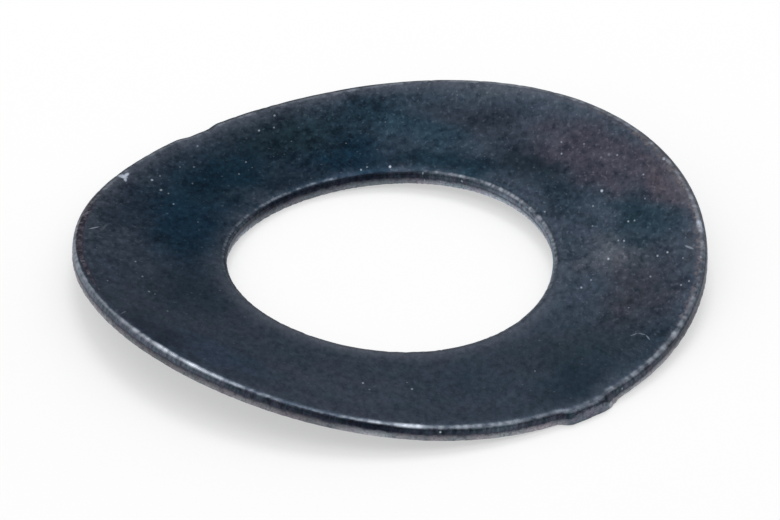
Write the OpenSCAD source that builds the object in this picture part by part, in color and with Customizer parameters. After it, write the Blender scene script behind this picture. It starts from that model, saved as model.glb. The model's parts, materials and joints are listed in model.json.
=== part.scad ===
// Curved spring washer. A round blank is punched from spring strip, then bent to a single arc.
// It stands on the middle of the arc with its hollow side up, as it lies on a bench.
// Sizes are in millimetres. X runs across the arc, Y along the line it is bent about, and Z up
// the bore. The origin is on the surface it stands on, under the middle of the bore.

/* [Washer] */
// Outside diameter of the blank while it is flat
outer_d = 20; // [17:0.1:26]
// Diameter of the bore that the screw passes through
bore_d = 10.25; // [7:0.05:13]
// Thickness of the spring strip
strip_t = 0.5; // [0.4:0.05:0.8]
// Radius of the bend, to the middle of the strip's thickness
bend_r = 37.5; // [28:0.5:90]

/* [Punched edge] */
// Width of the edge that the punch drew down, on the hollow side
roll_w = 0.3; // [0.1:0.05:0.5]
// Height that the rolled edge drops over that width
roll_h = 0.12; // [0.06:0.01:0.18]
// Rounding of the lower edge, left by tumbling
lower_r = 0.03; // [0.01:0.005:0.06]
// Share of the wall between those two edges that was sheared smooth; the rest was torn
sheared_share = 0.35; // [0.3:0.05:0.8]
// How far the torn band falls back by the time it reaches the underside
tear_back = 0.03; // [0.01:0.005:0.06]

/* [Bridge that broke proud, on the -Y side] */
// Width of the bridge that held the blank in its strip
bridge_w = 1.6; // [1:0.1:2.4]
// How far its middle is from the bend line, along the edge
bridge_shift = -0.18; // [-0.4:0.02:0.4]
// How far the broken stub still stands out of the edge
stub_out = 0.12; // [0:0.01:0.25]
// How much further out its foot is, torn at a slant
stub_slant = 0.12; // [0:0.01:0.2]
// Length over which the edge eases out to the stub, at its -X end
stub_rise = 0.5; // [0.2:0.05:0.9]
// Length over which the stub's top falls away again, at its +X end
stub_fall = 0.3; // [0.2:0.05:0.8]
// The same for its foot, which runs on further
foot_fall = 1.05; // [0.2:0.05:1.2]

/* [Bridge that broke deep, on the +Y side] */
// Width of the bite that this bridge took out of the edge
bite_w = 1.15; // [0.8:0.05:2]
// Depth of the bite
bite_in = 0.12; // [0:0.01:0.25]
// Length over which the edge eases into the bite at both ends
bite_ease = 0.6; // [0.2:0.05:1]

/* [Smoothness] */
// Steps round each half of the washer, between its two bridge marks
half_steps = 52; // [40:2:60]
// Steps across each bridge mark
mark_steps = 20; // [12:2:24]
// Rings between the rolled edge of the bore and that of the outside
face_rings = 6; // [4:1:7]
// Steps in the rolled edge
roll_steps = 5; // [3:1:6]
// Steps in the rounding of the lower edge
lower_steps = 2; // [1:1:3]

/* [Hidden] */

outer_r = outer_d / 2;
bore_r = bore_d / 2;
half_t = strip_t / 2;

// Stock on the sheared band of the bore, which the bore's own cylinder trues to a round land
bore_stock = 0.06;
// Clearance of the rolled edge and the torn band outside that land
land_step = 0.01;
// Sides that this cylinder is drawn with
bore_sides = 120;

// Height of the line where the sheared band ends and the torn band starts
torn_top = half_t - roll_h - sheared_share * (strip_t - roll_h - lower_r);

// Angle from a bridge mark's middle to the far end of its easing, on the outside edge
mark_half = max(
    (bridge_w + stub_rise) / 2 - bridge_shift,
    (bridge_w - stub_fall) / 2 + max(stub_fall, foot_fall) + bridge_shift,
    (bite_w + bite_ease) / 2);
mark_angle = mark_half / outer_r * 180 / PI;

// Angles of the sections, closer together where the bridges were
function span(from, to, steps) = [for (k = [0 : steps - 1]) from + k * (to - from) / steps];
angles = concat(
    span(90 - mark_angle, 90 + mark_angle, mark_steps),
    span(90 + mark_angle, 270 - mark_angle, half_steps),
    span(270 - mark_angle, 270 + mark_angle, mark_steps),
    span(270 + mark_angle, 450 - mark_angle, half_steps));

// A punched edge from the top face down to the underside. Each pair holds how far back from
// the sheared wall it is, and its height above the middle of the strip.
rolled = [for (k = [0 : roll_steps]) let (a = 90 * k / roll_steps)
    [roll_w * (1 - sin(a)), half_t - roll_h * (1 - cos(a))]];
torn = [for (k = [lower_steps : -1 : 0]) let (a = 90 * k / lower_steps)
    [tear_back + lower_r * (1 - sin(a)), lower_r * (1 - cos(a)) - half_t]];
outer_edge = concat(rolled, [[0, torn_top]], torn);
bore_edge = concat(rolled, [
    [-bore_stock, half_t - roll_h - land_step],
    [-bore_stock, torn_top + land_step],
    [0, torn_top]], torn);

// 0 before the start of an easing, 1 beyond its length, and smooth in between
function eased(from_start, length) = let (x = from_start / length)
    x <= 0 ? 0 : x >= 1 ? 1 : x * x * (3 - 2 * x);

// Distance along the outside edge from a mark's middle
function along_edge(angle, middle) = outer_r * (angle - middle) * PI / 180;

// How far the stub stands out at this distance along the edge, at this share of the depth
function stub(s, depth) =
    let (fall = stub_fall + (foot_fall - stub_fall) * depth)
    eased(s + (bridge_w + stub_rise) / 2, stub_rise)
    * (1 - eased(s - (bridge_w - stub_fall) / 2, fall))
    * (stub_out + stub_slant * depth);

// How deep the bite is at this distance along the edge
function bite(s) = bite_in * (1 - eased(abs(s) - (bite_w - bite_ease) / 2, bite_ease));

// How far the bridge marks move the outside edge, at this angle and height
function mark(angle, height) =
    stub(along_edge(angle, 270) - bridge_shift, (half_t - height) / strip_t)
    - bite(along_edge(angle, 90));

// The ring's section at one angle, as pairs of radius and height: along the top from the bore,
// down the outside edge, back along the underside and up the wall of the bore
ring_in = bore_r + land_step + roll_w;
ring_out = outer_r - roll_w;
rings = [for (k = [1 : face_rings - 1]) ring_in + k * (ring_out - ring_in) / face_rings];
function reversed(list) = [for (k = [len(list) - 1 : -1 : 0]) list[k]];
function section(angle) = concat(
    [for (r = rings) [r, half_t]],
    [for (e = outer_edge) [outer_r - e[0] + mark(angle, e[1]), e[1]]],
    [for (r = reversed(rings)) [r, -half_t]],
    [for (e = reversed(bore_edge)) [bore_r + land_step + e[0], e[1]]]);

// A point of the flat blank, carried round the bend. The top face is on the inside of the bend.
function bent(radius, angle, height) =
    let (turn = radius * cos(angle) / bend_r * 180 / PI, reach = bend_r - height)
    [reach * sin(turn), radius * sin(angle), bend_r + half_t - reach * cos(turn)];

// The whole ring: one section at each angle, joined to the next by pairs of triangles
module bent_blank() {
    sections = [for (a = angles) [for (p = section(a)) bent(p[0], a, p[1])]];
    size = len(sections[0]);
    count = len(sections);
    polyhedron(
        points = [for (s = sections) each s],
        faces = [for (i = [0 : count - 1], j = [0 : size - 1])
            let (
                here = i * size + j,
                here_on = i * size + (j + 1) % size,
                next = (i + 1) % count * size + j,
                next_on = (i + 1) % count * size + (j + 1) % size)
            each [[here, next, next_on], [here, next_on, here_on]]],
        convexity = 6);
}

// The finished washer: the bore runs true through the bent ring
module washer() {
    color("#39444e")
    difference() {
        bent_blank();
        translate([0, 0, -strip_t]) cylinder(r = bore_r, h = outer_r, $fn = bore_sides);
    }
}

washer();
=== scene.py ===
# %% [markdown]
# # A curved spring washer in blackened steel
# The part is one piece of spring strip, about 20 mm across and half a millimetre thick. It was
# punched out as a flat ring, bent to a single arc, hardened, and blackened in a salt bath.
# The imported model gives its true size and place, so everything below is fitted to that frame.

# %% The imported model
import json
import math

import bpy
import numpy as np
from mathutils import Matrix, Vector


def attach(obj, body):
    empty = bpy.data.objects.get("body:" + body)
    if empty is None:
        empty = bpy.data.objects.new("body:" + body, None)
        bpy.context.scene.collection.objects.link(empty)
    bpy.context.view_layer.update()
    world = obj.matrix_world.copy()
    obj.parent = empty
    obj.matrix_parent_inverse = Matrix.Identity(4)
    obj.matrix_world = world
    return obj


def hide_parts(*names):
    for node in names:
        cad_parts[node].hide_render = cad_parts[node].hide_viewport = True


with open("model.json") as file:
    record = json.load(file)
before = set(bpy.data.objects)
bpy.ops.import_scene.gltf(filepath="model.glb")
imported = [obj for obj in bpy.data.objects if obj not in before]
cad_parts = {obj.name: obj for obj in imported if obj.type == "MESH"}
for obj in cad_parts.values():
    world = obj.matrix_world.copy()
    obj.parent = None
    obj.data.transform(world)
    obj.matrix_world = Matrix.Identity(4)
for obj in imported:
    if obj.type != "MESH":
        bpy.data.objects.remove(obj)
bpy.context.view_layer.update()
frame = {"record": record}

# %% [markdown]
# ## Sizes
# All sizes are those of the flat blank, in millimetres, as a toolmaker would write them. A point
# of the blank has a place along X, a place along Y and a height above the middle of the strip.
# One function then carries every point round the bend. Working flat and bending last is how the
# real washer was made, and it keeps the edges simple: each is the same section swept round.

# %% Sizes of the blank, and the bend
MM = 0.001
OUTER_R = 10.0
BORE_R = next(m for m in frame["record"]["mounts"] if m["name"] == "bore")["dims"]["r_mm"]
STRIP_T = 0.5
HALF_T = STRIP_T / 2
BEND_R = 37.5


def bend(along, across, height):
    """Carries points of the flat blank round the bend. The hollow side is up."""
    turn = along / BEND_R
    reach = BEND_R - height
    return reach * np.sin(turn), across, BEND_R + HALF_T - reach * np.cos(turn)


arc_height = bend(np.float64(OUTER_R), 0, HALF_T)[2]
print("height of the bent blank, mm:", round(float(arc_height), 3))

# %% [markdown]
# ## Camera
# The camera stands a little left of the bend line and looks down at the washer from far away, so
# the view has almost no perspective. A long lens does that: its focal length follows from how
# many pixels one radian covers in the picture.

# %% Camera
IMAGE_W = 780
IMAGE_H = 520
PIXELS_PER_RADIAN = 16794
SENSOR_MM = 36
CAMERA_ELEVATION = math.radians(32.81)
CAMERA_AZIMUTH = math.radians(-38.14)
CAMERA_AIM = Vector((0.357, 0.448, 0.25)) * MM
CAMERA_DISTANCE = 527.3 * MM


def put_in_scene(name, data):
    """Makes an object of a camera, a mesh or a lamp, and puts it in the scene."""
    made = bpy.data.objects.new(name, data)
    bpy.context.scene.collection.objects.link(made)
    return made


toward_camera = Vector((
    math.sin(CAMERA_AZIMUTH) * math.cos(CAMERA_ELEVATION),
    -math.cos(CAMERA_AZIMUTH) * math.cos(CAMERA_ELEVATION),
    math.sin(CAMERA_ELEVATION)))
picture_right = Vector((math.cos(CAMERA_AZIMUTH), math.sin(CAMERA_AZIMUTH), 0))
picture_up = toward_camera.cross(picture_right)

lens = bpy.data.cameras.new("camera")
lens.sensor_width = SENSOR_MM
lens.lens = SENSOR_MM * PIXELS_PER_RADIAN / IMAGE_W
lens.clip_start = 0.01
lens.clip_end = 10
camera = put_in_scene("camera", lens)
camera.location = CAMERA_AIM + toward_camera * CAMERA_DISTANCE
camera.rotation_mode = "QUATERNION"
camera.rotation_quaternion = (-toward_camera).to_track_quat("-Z", "Y")
bpy.context.scene.camera = camera
print("lens, mm:", round(lens.lens, 1))

# %% [markdown]
# ## From a picture to the blank
# A chip or a scratch is easiest to place by the pixel where it is seen. This helper sends a ray
# through that pixel, finds where it meets the hollow side, and unrolls the bend there. The
# answer is a place on the flat blank, in millimetres, so a mark stays put when the view changes.

# %% Place on the blank of a pixel
def on_blank(pixel_x, pixel_y):
    """Place on the flat blank, in mm, of the point of the hollow side seen at a pixel."""
    aside = picture_right * ((pixel_x - IMAGE_W / 2) / PIXELS_PER_RADIAN)
    upward = picture_up * ((IMAGE_H / 2 - pixel_y) / PIXELS_PER_RADIAN)
    ray = aside + upward - toward_camera
    start = camera.location / MM
    hollow_r = BEND_R - HALF_T
    axis_z = BEND_R + HALF_T
    rise = start.z - axis_z
    a = ray.x ** 2 + ray.z ** 2
    b = start.x * ray.x + rise * ray.z
    c = start.x ** 2 + rise ** 2 - hollow_r ** 2
    reach = (math.sqrt(b * b - a * c) - b) / a
    hit = start + ray * reach
    return BEND_R * math.atan2(hit.x, axis_z - hit.z), hit.y


print("the picture's middle is on the blank at", [round(v, 2) for v in on_blank(390, 260)])

# %% [markdown]
# ## The punched edge
# A punch doesn't cut cleanly. It first drags the top edge down into a soft roll, then shears a
# smooth band, and then the rest of the thickness tears. Light shows all three bands, so they are
# real geometry here and not a picture on a flat wall. The edge is a list of points going down
# the wall, and each point knows how far back from the wall it lies and how far below the top.

# %% Sections round the blank
SECTIONS = 1390
NEAR_MARK = 270.0
FAR_MARK = 90.0
# How much closer the sections stand at each mark, and over how many degrees
NEAR_CROWDING = (1.4, 7)
FAR_CROWDING = (0.9, 8)
degrees = np.linspace(0, 360, 7201)


def swell(angles, middle, half):
    """1 at a middle angle, falling away to both sides of it."""
    return np.exp(-((angles - middle) / half) ** 2)


crowding = 1
for middle, (amount, half) in ((NEAR_MARK, NEAR_CROWDING), (FAR_MARK, FAR_CROWDING)):
    crowding = crowding + amount * swell(degrees, middle, half)
walked = np.concatenate(([0], np.cumsum((crowding[1:] + crowding[:-1]) / 2)))
section_degrees = np.interp(np.arange(SECTIONS) / SECTIONS * walked[-1], walked, degrees)
section_angles = np.radians(section_degrees)
print("sections:", SECTIONS, "closest, degrees:", round(float(np.diff(section_degrees).min()), 3))


def ease(value, start, end):
    """0 before start, 1 after end, and smooth in between."""
    x = np.clip((value - start) / (end - start), 0, 1)
    return x * x * (3 - 2 * x)


# %% [markdown]
# ## Unevenness that can be repeated
# Torn metal and worn edges are irregular, but the file has to give the same washer each time.
# Random numbers from a fixed seed are laid out on a grid that closes on itself round the ring,
# and smoothed between the grid points. The grid's step sets the size of the bumps.

# %% Seeded unevenness
def uneven(step_degrees, rows, depth_share, seed):
    """Smooth noise of about -1 to 1 for every section and every row down the wall."""
    columns = int(round(360 / step_degrees))
    grid = np.random.default_rng(seed).uniform(-1, 1, (columns, rows))
    x = section_degrees / 360 * columns
    y = np.atleast_1d(depth_share) * (rows - 1)
    x0 = np.floor(x).astype(int)
    y0 = np.clip(np.floor(y).astype(int), 0, max(rows - 2, 0))
    fx = ease(x - x0, 0, 1)[:, None]
    fy = ease(y - y0, 0, 1)[None, :]
    left = x0 % columns
    right = (x0 + 1) % columns
    below = np.minimum(y0 + 1, rows - 1)
    top = grid[np.ix_(left, y0)] * (1 - fx) + grid[np.ix_(right, y0)] * fx
    low = grid[np.ix_(left, below)] * (1 - fx) + grid[np.ix_(right, below)] * fx
    return top * (1 - fy) + low * fy


def ring_noise(step_degrees, seed):
    """Smooth noise of about -1 to 1 with one value for each section."""
    return uneven(step_degrees, 1, 0, seed)[:, 0]


print("noise spread:", round(float(ring_noise(2.0, 1).std()), 3))

# %% [markdown]
# ## The two bridge marks
# The blanks stay in their strip, held by two narrow bridges, until the last blow breaks them
# off. On the near side the bridge broke outside the edge and left a stub with a torn, sloping
# face. On the far side it took a shallow bite out of the edge.

# %% Bridge marks
BRIDGE_W = 1.6
BRIDGE_SHIFT = -0.18
STUB_OUT = 0.12
STUB_SLANT = 0.12
STUB_RISE = 0.5
STUB_FALL = 0.3
FOOT_FALL = 1.05
BITE_W = 1.15
BITE_IN = 0.12
BITE_EASE = 0.6


def along_edge(middle):
    """Distance of each section from a mark's middle, along the outside edge, in mm."""
    return OUTER_R * np.radians(section_degrees - middle)


def stub(depth_share):
    """How far the stub stands out, for every section and every depth below the top."""
    x = along_edge(NEAR_MARK)[:, None] - BRIDGE_SHIFT
    depth = np.atleast_1d(depth_share)[None, :]
    rise_end = (STUB_RISE - BRIDGE_W) / 2
    fall_start = (BRIDGE_W - STUB_FALL) / 2
    rise = ease(x, rise_end - STUB_RISE, rise_end)
    fall = 1 - ease(x, fall_start, fall_start + STUB_FALL + (FOOT_FALL - STUB_FALL) * depth)
    return rise * fall * (STUB_OUT + STUB_SLANT * depth)


def bite():
    """How far the edge stands back at the bite, for every section."""
    x = np.abs(along_edge(FAR_MARK))
    deep = (BITE_W - BITE_EASE) / 2
    return BITE_IN * (1 - ease(x, deep, deep + BITE_EASE))


on_stub = stub(0)[:, 0] / STUB_OUT
stub_sides = swell(section_degrees, 265.2, 1.1) + 0.7 * swell(section_degrees, 276.5, 0.8)
stub_end_shade = swell(section_degrees, 273.5, 0.6)
print("sections on the stub:", int((on_stub > 0.5).sum()))

# %% [markdown]
# ## The parts of an edge
# The outer edge and the wall of the bore are made in the same way. The roll is a quarter of an
# ellipse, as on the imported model, with its width wandering a little, small nicks from tumbling
# with other washers, and a faint shoulder where the face already starts to sink. The line
# between the sheared and the torn band wanders too, and the torn band is rough.

# %% The punched edge
ROLL_W = 0.3
ROLL_H = 0.12
SHOULDER_W = 0.85
SHOULDER_H = 0.02
LOWER_R = 0.03
OUTER_SHEARED = 0.36
BORE_SHEARED = 0.3
TEAR_BACK = 0.015
TEAR_DEPTH = 0.016
NICKS = 46
NICK_HALVES = (0.03, 0.11)
NICK_DEPTHS = (0.006, 0.026)
NICK_BACK = 0.25
NICK_DOWN = 0.5
EARLY_TEAR = 0.85
LATE_TEAR = 0.3
BURNISHED_WAVE = 0.0015
ROLL_POINTS = 10
BURNISHED_FROM = 6
SHEARED_POINTS = 3
TORN_POINTS = 7
FOOT_TURNS = (30, 60, 90)
FACE, SHEARED, TORN, UNDERSIDE = range(4)


def shoulder(from_edge):
    """How far the face has sunk at this distance from the edge, before the roll begins."""
    return SHOULDER_H * np.clip(1 - from_edge / SHOULDER_W, 0, 1) ** 3


def nicks(seed, edge_r):
    """Depth of the small nicks in a rolled edge, for every section, in mm."""
    draw = np.random.default_rng(seed)
    total = np.zeros(SECTIONS)
    for _ in range(NICKS):
        middle = draw.uniform(0, 360)
        half = draw.uniform(*NICK_HALVES)
        depth = draw.uniform(*NICK_DEPTHS)
        away = (section_degrees - middle + 180) % 360 - 180
        total = np.maximum(total, depth * np.exp(-(edge_r * np.radians(away) / half) ** 2))
    return total


print("nicks in an edge:", NICKS, "deepest, mm:", NICK_DEPTHS[1])

# %% [markdown]
# ## From the top face down to the underside
# The points of an edge go down in four runs: the roll, the sheared band, the torn band and its
# rounded foot. Each run starts where the one above it ended, so the edge never comes apart,
# however much the lines between the bands wander.

# %% Points down the edge
def punched_edge(edge_r, sheared_share, seed, torn_early, sheared_late):
    """Setback, depth below the top, and band of an edge's points, for every section."""
    roll_w = ROLL_W * (1 + 0.10 * ring_noise(9, seed) + 0.05 * ring_noise(1.5, seed + 1))
    roll_h = ROLL_H * (1 + 0.09 * ring_noise(7, seed + 2) + 0.05 * ring_noise(1.2, seed + 3))
    nick = nicks(seed + 4, edge_r)
    points = []

    for k, a in enumerate(np.radians(np.linspace(0, 90, ROLL_POINTS))):
        back = roll_w * (1 - math.sin(a))
        down = roll_h * (1 - math.cos(a)) + shoulder(back)
        dent = nick * math.sin(a)
        zone = FACE if k < BURNISHED_FROM else SHEARED
        points.append((back + dent * NICK_BACK, down + dent * NICK_DOWN, zone))

    foot = STRIP_T - LOWER_R
    share = sheared_share * (1 - EARLY_TEAR * torn_early) + LATE_TEAR * sheared_late
    tear_line = roll_h + shoulder(0) + share * (foot - roll_h)
    tear_line = tear_line + 0.02 * ring_noise(2.4, seed + 5) + 0.014 * ring_noise(0.7, seed + 6)
    for k in range(1, SHEARED_POINTS + 1):
        down = roll_h + shoulder(0) + (tear_line - roll_h - shoulder(0)) * k / SHEARED_POINTS
        back = BURNISHED_WAVE * (1 + ring_noise(0.55, seed + 7 + k))
        back = back + nick * NICK_BACK * (1 - k / SHEARED_POINTS)
        points.append((back, down, SHEARED))

    shares = np.linspace(0, 1, TORN_POINTS + 1)[1:]
    rough = 0.65 * uneven(0.9, 5, shares, seed + 11) + 0.35 * uneven(0.45, 8, shares, seed + 12)
    for k, part in enumerate(shares):
        down = tear_line + (foot - tear_line) * part
        back = TEAR_BACK * part + TEAR_DEPTH * (1 + rough[:, k]) * min(1, 3 * part)
        points.append((back, down, TORN))

    floor_back = points[-1][0]
    for a in np.radians(FOOT_TURNS):
        back = floor_back + LOWER_R * (1 - math.cos(a))
        points.append((back, foot + LOWER_R * math.sin(a), TORN))

    back = np.stack([np.broadcast_to(p[0], SECTIONS) for p in points], 1)
    down = np.stack([np.broadcast_to(p[1], SECTIONS) for p in points], 1)
    return back, down, [p[2] for p in points]


outer_back, outer_down, outer_zones = punched_edge(OUTER_R, OUTER_SHEARED, 20, on_stub, stub_sides)
bore_back, bore_down, bore_zones = punched_edge(BORE_R, BORE_SHEARED, 60, 0, 0)
print("points down an edge:", len(outer_zones), "roughest tear, mm:", round(outer_back.max(), 3))

# %% [markdown]
# ## The whole section
# The section goes round once: out across the hollow side, down the outer edge, back along the
# underside and up the wall of the bore. The face needs few rings in its middle, because it only
# follows the bend, and more where it meets the rolls.

# %% The whole section, and the bend
FACE_RINGS = (0.0, 0.03, 0.07, 0.13, 0.22, 0.36, 0.5, 0.64, 0.78, 0.87, 0.93, 0.97)
UNDER_RINGS = (0.9, 0.7, 0.5, 0.3, 0.1)

outer_r = OUTER_R + stub(outer_down.mean(0) / STRIP_T) - bite()[:, None] - outer_back
bore_r = BORE_R + bore_back
radius = []
height = []
zones = []

face_in = bore_r[:, 0]
face_out = outer_r[:, 0]
for share in FACE_RINGS[1:]:
    ring = face_in + share * (face_out - face_in)
    sunk = shoulder(ring - BORE_R) + shoulder(OUTER_R - bite() - ring)
    radius.append(ring)
    height.append(HALF_T - sunk)
    zones.append(FACE)
for k, zone in enumerate(outer_zones):
    radius.append(outer_r[:, k])
    height.append(HALF_T - outer_down[:, k])
    zones.append(zone)
for share in UNDER_RINGS:
    radius.append(bore_r[:, -1] + share * (outer_r[:, -1] - bore_r[:, -1]))
    height.append(np.full(SECTIONS, -HALF_T))
    zones.append(UNDERSIDE)
for k in reversed(range(len(bore_zones))):
    radius.append(bore_r[:, k])
    height.append(HALF_T - bore_down[:, k])
    zones.append(bore_zones[k])

radius = np.stack(radius, 1)
height = np.stack(height, 1)
flat_x = radius * np.cos(section_angles)[:, None]
flat_y = radius * np.sin(section_angles)[:, None]
bent = np.stack(np.broadcast_arrays(*bend(flat_x, flat_y, height)), -1)
AROUND = radius.shape[1]
print("points in a section:", AROUND, "triangles:", 2 * AROUND * SECTIONS)

# %% [markdown]
# ## The mesh
# Sections become a ring of quads. A quad belongs to the lower band of the two points it joins,
# counted from the hollow side down, and each band gets a finish of its own later.

# %% The mesh
section_index = np.arange(SECTIONS)[:, None]
point_index = np.arange(AROUND)[None, :]
here = section_index * AROUND + point_index
here_on = section_index * AROUND + (point_index + 1) % AROUND
beyond = (section_index + 1) % SECTIONS * AROUND + point_index
beyond_on = (section_index + 1) % SECTIONS * AROUND + (point_index + 1) % AROUND
quads = np.stack([here, here_on, beyond_on, beyond], -1).reshape(-1, 4)

mesh = bpy.data.meshes.new("curved_spring_washer")
mesh.from_pydata((bent.reshape(-1, 3) * MM).tolist(), [], quads.tolist())
mesh.polygons.foreach_set("use_smooth", np.ones(len(quads), bool))

bands = np.maximum(zones, np.roll(zones, -1))
print("faces of the hollow side, sheared, torn, underside:", np.bincount(bands) * SECTIONS)

washer = put_in_scene("curved_spring_washer", mesh)
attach(washer, "root")
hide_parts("washer")

# %% [markdown]
# ## Where the edge is worn, and where light is painted on it
# The black layer is thinnest where washers knock together, and that is the top of the roll. The
# wear isn't even: some stretches are rubbed down to bright steel and others are hardly touched.
# The bright line on the roll is also a painted highlight, so its amount and its place across the
# roll change with the angle round the blank.
# The sheared band carries a painted reflection, darkest where it faces the camera and lighter away
# from it, a pale painted highlight runs along parts of both edges, and brown crumbs sit at the two
# ends. Each is a list of angles round the blank with an amount in percent, and between two angles
# the amount changes evenly. The finer breaks are left to the materials.

# %% Worn and highlit, painted sheen, painted halo and brown stretches
# Worn steel on the crest of the roll, and a painted highlight with it: amounts and crest places
# follow the highlight as well as the wear
OUTER_WEAR_AND_HIGHLIGHT = (
    (0, 39), (10, 37), (20, 42), (40, 40), (60, 36), (80, 34), (100, 36), (120, 32), (130, 35),
    (140, 60), (150, 60), (159, 45), (171, 42), (181, 62), (192, 65), (201, 33), (207, 31),
    (213, 22), (219, 24), (225, 36), (231, 33), (237, 76), (243, 43), (249, 34), (255, 39),
    (260, 26), (263, 34), (268, 22), (273, 27), (279, 35), (285, 31), (291, 53), (297, 42),
    (303, 32), (309, 27), (314, 28), (320, 36), (350, 36))
OUTER_CREST = (
    (0, 60), (20, 58), (32, 48), (44, 48), (58, 22), (85, 22), (100, 40), (122, 40), (132, 80),
    (150, 85), (172, 82), (180, 76), (192, 72), (200, 68), (222, 60), (284, 60), (290, 68),
    (300, 62), (320, 55), (345, 48))
OUTER_LINE = ((0, 33), (122, 33), (132, 15), (170, 20), (180, 30), (262, 36), (300, 36))
BORE_WEAR_AND_HIGHLIGHT = (
    (0, 52), (10, 54), (18, 38), (26, 42), (34, 33), (42, 14), (58, 14), (66, 10), (74, 30),
    (80, 22), (95, 28), (110, 28), (140, 30), (200, 14), (300, 30), (345, 60))
BORE_CREST = ((0, 66), (40, 60), (80, 55), (120, 50), (200, 55), (330, 66))
# Painted reflection on the sheared band: none where the wall faces the camera, more as it turns
# away
OUTER_PAINTED_SHEEN = (
    (0, 60), (60, 50), (90, 30), (136, 70), (144, 65), (150, 62), (156, 50), (162, 42), (168, 31),
    (174, 27), (180, 35), (186, 32), (192, 26), (198, 20), (204, 11), (210, 9), (216, 5.5),
    (222, 4), (228, 0), (234, 4), (240, 7), (246, 8.5), (252, 24), (258, 10), (276, 19), (282, 20),
    (288, 11), (294, 13), (300, 17.5), (306, 29), (312, 30), (330, 60))
BORE_PAINTED_SHEEN = (
    (0, 52), (10, 50), (18, 27), (26, 18), (34, 16), (42, 4), (50, 4), (58, 0), (74, 2), (98, 0),
    (106, 9), (114, 16), (130, 25), (200, 14), (322, 80), (330, 85), (346, 75), (354, 60))
OUTER_TORN = (
    (0, 90), (90, 90), (140, 100), (165, 98), (174, 76), (180, 61), (186, 54), (192, 70),
    (198, 70), (204, 82), (210, 74), (216, 68), (222, 78), (228, 130), (234, 92), (240, 86),
    (246, 88), (252, 110), (258, 113), (276, 88), (282, 114), (288, 105), (294, 88), (300, 57),
    (310, 68), (320, 72))
BORE_TORN = (
    (0, 160), (10, 175), (18, 160), (26, 130), (34, 127), (42, 98), (50, 75), (66, 78), (82, 72),
    (98, 68), (106, 76), (114, 120), (140, 120), (200, 90), (330, 140), (346, 170))
# Painted highlight along the edges, where the face rolls down to them
OUTER_HALO_HIGHLIGHT = (
    (0, 25), (10, 30), (20, 40), (30, 55), (60, 55), (85, 50), (100, 60), (115, 60), (130, 20),
    (150, 0), (190, 0), (205, 10), (260, 5), (300, 0), (320, 10), (335, 20), (350, 30))
BORE_HALO_HIGHLIGHT = (
    (0, 0), (90, 0), (150, 20), (180, 75), (200, 90), (225, 90), (250, 65), (270, 65), (290, 45),
    (320, 15))
BROWN_LINE = (
    (0, 30), (60, 0), (112, 0), (120, 45), (130, 95), (150, 85), (162, 72), (174, 42), (186, 24),
    (192, 0), (270, 0), (290, 30), (305, 55), (330, 60))
BROWN_DOWN = (
    (0, 70), (112, 90), (122, 120), (140, 105), (150, 75), (165, 50), (190, 45), (300, 70))
BROWN_FILM = ((0, 50), (25, 35), (45, 0), (262, 0), (285, 20), (310, 42), (335, 55), (350, 60))


def by_angle(stretches):
    """A column with the share for every section, from a closed list of angles and percents."""
    angles, percents = zip(*stretches)
    return np.interp(section_degrees, angles, np.array(percents) / 100, period=360)[:, None]


print("mean wear on the outer roll:", round(float(by_angle(OUTER_WEAR_AND_HIGHLIGHT).mean()), 3))

# %% [markdown]
# ## What each point stores
# An amount round the blank still has to be spread down the edge. The bright line, worn steel with
# a painted highlight, lies on the crest of the roll, the painted highlight of the halo fades away
# from it on both sides, and the brown film hangs over it.
# Small functions give these profiles, and every point of the mesh stores the products for the
# materials to read. It also stores its place on the flat blank, so that no pattern is stretched
# by the bend.

# %% What each point stores
HALO_HIGHLIGHT_REACH = 0.7
BROWN_REACH = 0.12
BORE_LINE = 0.22
# Depths below the top, in mm, between which each of these fades out
CREST_DOWN = (0.12, 0.2)
HALO_HIGHLIGHT_DOWN = (0.02, 0.1)
FILM_DOWN = (0.2, 0.4)
# Painted sheen on the stub: strong above its lip, weaker below it; painted shade takes it away at
# its sides and its end
STUB_LIP = 0.11
STUB_SHEEN = (0.34, 0.12)
STUB_SIDES_SHADE = 0.6
STUB_END_SHADE = 0.9


def crest_profile(back, down, crest, width):
    """1 on the crest of the roll, where it stands out most, and 0 on the face and the wall."""
    out = np.clip(1 - back / ROLL_W, 0, 1)
    rise = ease(out, crest - 1.5 * width, crest)
    fall = 1 - ease(out, crest + 0.45 * width, crest + 1.2 * width)
    return rise * fall * (1 - ease(down, *CREST_DOWN))


def halo_highlight_profile(from_roll):
    """1 where the face meets the roll, fading over the reach of the painted highlight. Distances
    are in mm.
    """
    return np.clip(1 - np.maximum(from_roll, 0) / HALO_HIGHLIGHT_REACH, 0, 1) ** 2


def top_of_roll(back, reach):
    """1 where the face has begun to roll down, and 0 on the face and beyond a reach."""
    out = np.clip(1 - back / ROLL_W, 0, 1)
    return ease(out, -0.05, 0.15) * (1 - ease(out - reach, -0.3, 0))


BAND = [0.0] * ROLL_POINTS
BAND += [k / SHEARED_POINTS for k in range(1, SHEARED_POINTS + 1)]
BAND += [1 + k / TORN_POINTS for k in range(1, TORN_POINTS + 1)] + [2.0] * len(FOOT_TURNS)
outer_start = len(FACE_RINGS) - 1
outer_end = outer_start + len(outer_zones)
bore_start = outer_end + len(UNDER_RINGS)
face = np.arange(outer_start)
outer = np.arange(outer_start, outer_end)
bore = np.arange(bore_start, AROUND)[::-1]
wear, scuff, torn, on_stub_mask, halo, brown, band = np.zeros((7, SECTIONS, AROUND))

from_bore = radius[:, face] - face_in[:, None]
from_rim = face_out[:, None] - radius[:, face]
film = by_angle(BROWN_FILM)
halo[:, face] = by_angle(BORE_HALO_HIGHLIGHT) * halo_highlight_profile(from_bore)
halo[:, face] += by_angle(OUTER_HALO_HIGHLIGHT) * halo_highlight_profile(from_rim)
brown[:, face] = film * np.clip(1 - from_rim / BROWN_REACH, 0, 1)

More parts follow.
